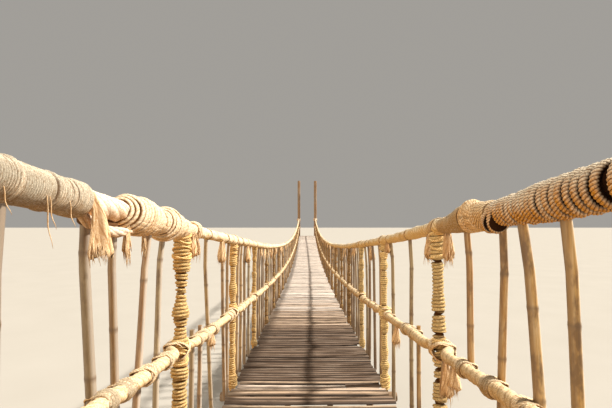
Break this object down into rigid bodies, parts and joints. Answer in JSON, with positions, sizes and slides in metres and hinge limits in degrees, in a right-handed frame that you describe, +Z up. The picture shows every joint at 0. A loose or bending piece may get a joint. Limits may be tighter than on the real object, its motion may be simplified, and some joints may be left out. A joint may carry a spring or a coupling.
{
  "type": "rope suspension footbridge",
  "caption": "Narrow footbridge hung on wrapped handrail ropes between timber portals, with rope-bound posts, cane sticks and a slatted deck that sags in the middle.",
  "frame": {"origin": "on the ground plane under the middle of the span, on the bridge's centre line", "axes": "+X to the right and +Y along the walkway towards the far portal, +Z up"},
  "size_m": [1.6, 30.9796, 5.23],
  "materials": {
    "portal_timber": "weathered round timber",
    "log": "weathered bark-free log",
    "slats": "grey-brown weathered cane and board",
    "cane": "dry cane, dull",
    "rope": "coarse natural fibre rope"
  },
  "bodies": {
    "root": {"near_left_portal_post": "portal_timber", "near_right_portal_post": "portal_timber", "far_left_portal_post": "portal_timber", "far_right_portal_post": "portal_timber", "near_sill_log": "portal_timber", "far_sill_log": "portal_timber", "left_handrail_rope": "rope", "right_handrail_rope": "rope", "left_deck_rope": "rope", "right_deck_rope": "rope", "cross_log_1": "log", "cross_log_2": "log", "cross_log_3": "log", "cross_log_4": "log", "cross_log_5": "log", "cross_log_6": "log", "cross_log_7": "log", "cross_log_8": "log", "cross_log_9": "log", "cross_log_10": "log", "cross_log_11": "log", "cross_log_12": "log", "cross_log_13": "log", "cross_log_14": "log", "cross_log_15": "log", "cross_log_16": "log", "cross_log_17": "log", "cross_log_18": "log", "cross_log_19": "log", "cross_log_20": "log", "cross_log_21": "log", "cross_log_22": "log", "cross_log_23": "log", "cross_log_24": "log", "cross_log_25": "log", "deck_length_1": "slats", "deck_length_2": "slats", "deck_length_3": "slats", "deck_length_4": "slats", "deck_length_5": "slats", "deck_length_6": "slats", "left_fence": "cane", "right_fence": "cane"}
  },
  "joints": []
}
